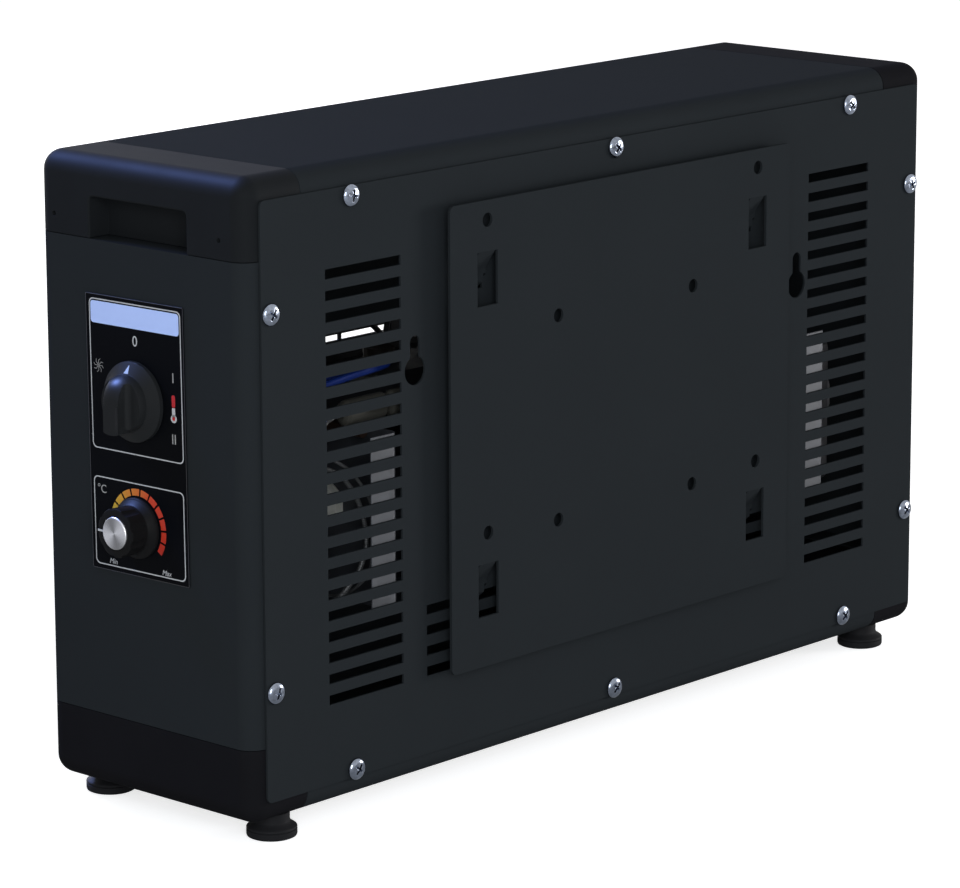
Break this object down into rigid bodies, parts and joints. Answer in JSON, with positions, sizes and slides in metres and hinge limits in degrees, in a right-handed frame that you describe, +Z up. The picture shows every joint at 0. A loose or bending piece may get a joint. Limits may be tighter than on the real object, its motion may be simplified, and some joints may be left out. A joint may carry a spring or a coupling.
{
  "type": "fan heater",
  "caption": "Flat upright fan heater: dark steel casing, louvred back with hook-on mounting plate, handle recesses, mode switch and thermostat dial on one end.",
  "frame": {"origin": "bottom centre of the bounding box, on the plane that the feet stand on", "axes": "+Z up; the warm air leaves towards -Y; the mounting plate faces +Y; the controls are on the +X end"},
  "size_m": [0.5146, 0.1472, 0.3112],
  "materials": {
    "powder_coat": "fine satin powder coat",
    "moulded_black": "fine moulded texture",
    "rubber_black": "matte",
    "label_black": "printed film",
    "knob_black": "semi-gloss",
    "aluminium": "spun or mill",
    "galvanised": "galvanised",
    "zinc": "bright zinc plate",
    "laminations": "varnished laminations",
    "varnished_copper": "taped and varnished winding",
    "copper": "drawn copper",
    "phenolic": "moulded phenolic",
    "white_nylon": "natural",
    "wire_brown": "extruded insulation",
    "wire_blue": "extruded insulation",
    "wire_white": "braided sleeving"
  },
  "bodies": {
    "heater": {"top_sheet": "powder_coat", "bottom_sheet": "powder_coat", "end_panel_control": "powder_coat", "end_panel_plain": "powder_coat", "back_panel": "powder_coat", "front_panel": "powder_coat", "outlet_grille": "moulded_black", "top_cap_control": "moulded_black", "top_cap_plain": "moulded_black", "bottom_cap_control": "moulded_black", "bottom_cap_plain": "moulded_black", "foot_rear_control": "rubber_black", "foot_front_control": "rubber_black", "foot_rear_plain": "rubber_black", "foot_front_plain": "rubber_black", "control_label": "label_black", "switch_body": "phenolic", "thermostat_body": "galvanised", "thermostat_capillary": "copper", "blower_end_control": "galvanised", "blower_end_motor": "galvanised", "scroll_wall": "galvanised", "vortex_wall": "galvanised", "bearing_bush": "white_nylon", "motor_stack": "laminations", "motor_coil": "varnished_copper", "motor_bracket_inner": "aluminium", "motor_bracket_outer": "aluminium", "element_frame": "white_nylon", "element_core": "aluminium", "thermal_cutout": "phenolic", "terminal_block": "white_nylon", "cable_gland": "moulded_black", "wire_live": "wire_brown", "wire_neutral": "wire_blue", "wire_element_low": "wire_white", "wire_element_high": "wire_white"},
    "switch_knob": {"switch_knob": "knob_black", "switch_shaft": "aluminium"},
    "thermostat_knob": {"thermostat_knob": "knob_black", "thermostat_knob_cap": "aluminium", "thermostat_shaft": "aluminium"},
    "impeller": {"impeller": "moulded_black", "impeller_shaft_motor": "zinc", "impeller_shaft_bearing": "zinc", "motor_rotor": "laminations"},
    "mounting_plate": {"mounting_plate": "powder_coat"}
  },
  "joints": [
    {"name": "switch_turn", "type": "hinge", "parent": "heater", "child": "switch_knob", "pos_m": [0.2425, -0.0072, 0.2014], "axis": [1, 0, 0], "range_deg": [-120, 60]},
    {"name": "thermostat_turn", "type": "hinge", "parent": "heater", "child": "thermostat_knob", "pos_m": [0.2425, -0.0072, 0.142], "axis": [1, 0, 0], "range_deg": [-220, 40]},
    {"name": "impeller_spin", "type": "hinge", "parent": "heater", "child": "impeller", "pos_m": [-0.00795, 0.0181, 0.14], "axis": [1, 0, 0], "continuous": true},
    {"name": "plate_lift", "type": "slide", "parent": "heater", "child": "mounting_plate", "axis": [0, 0, 1], "range_m": [0, 0.006]}
  ]
}
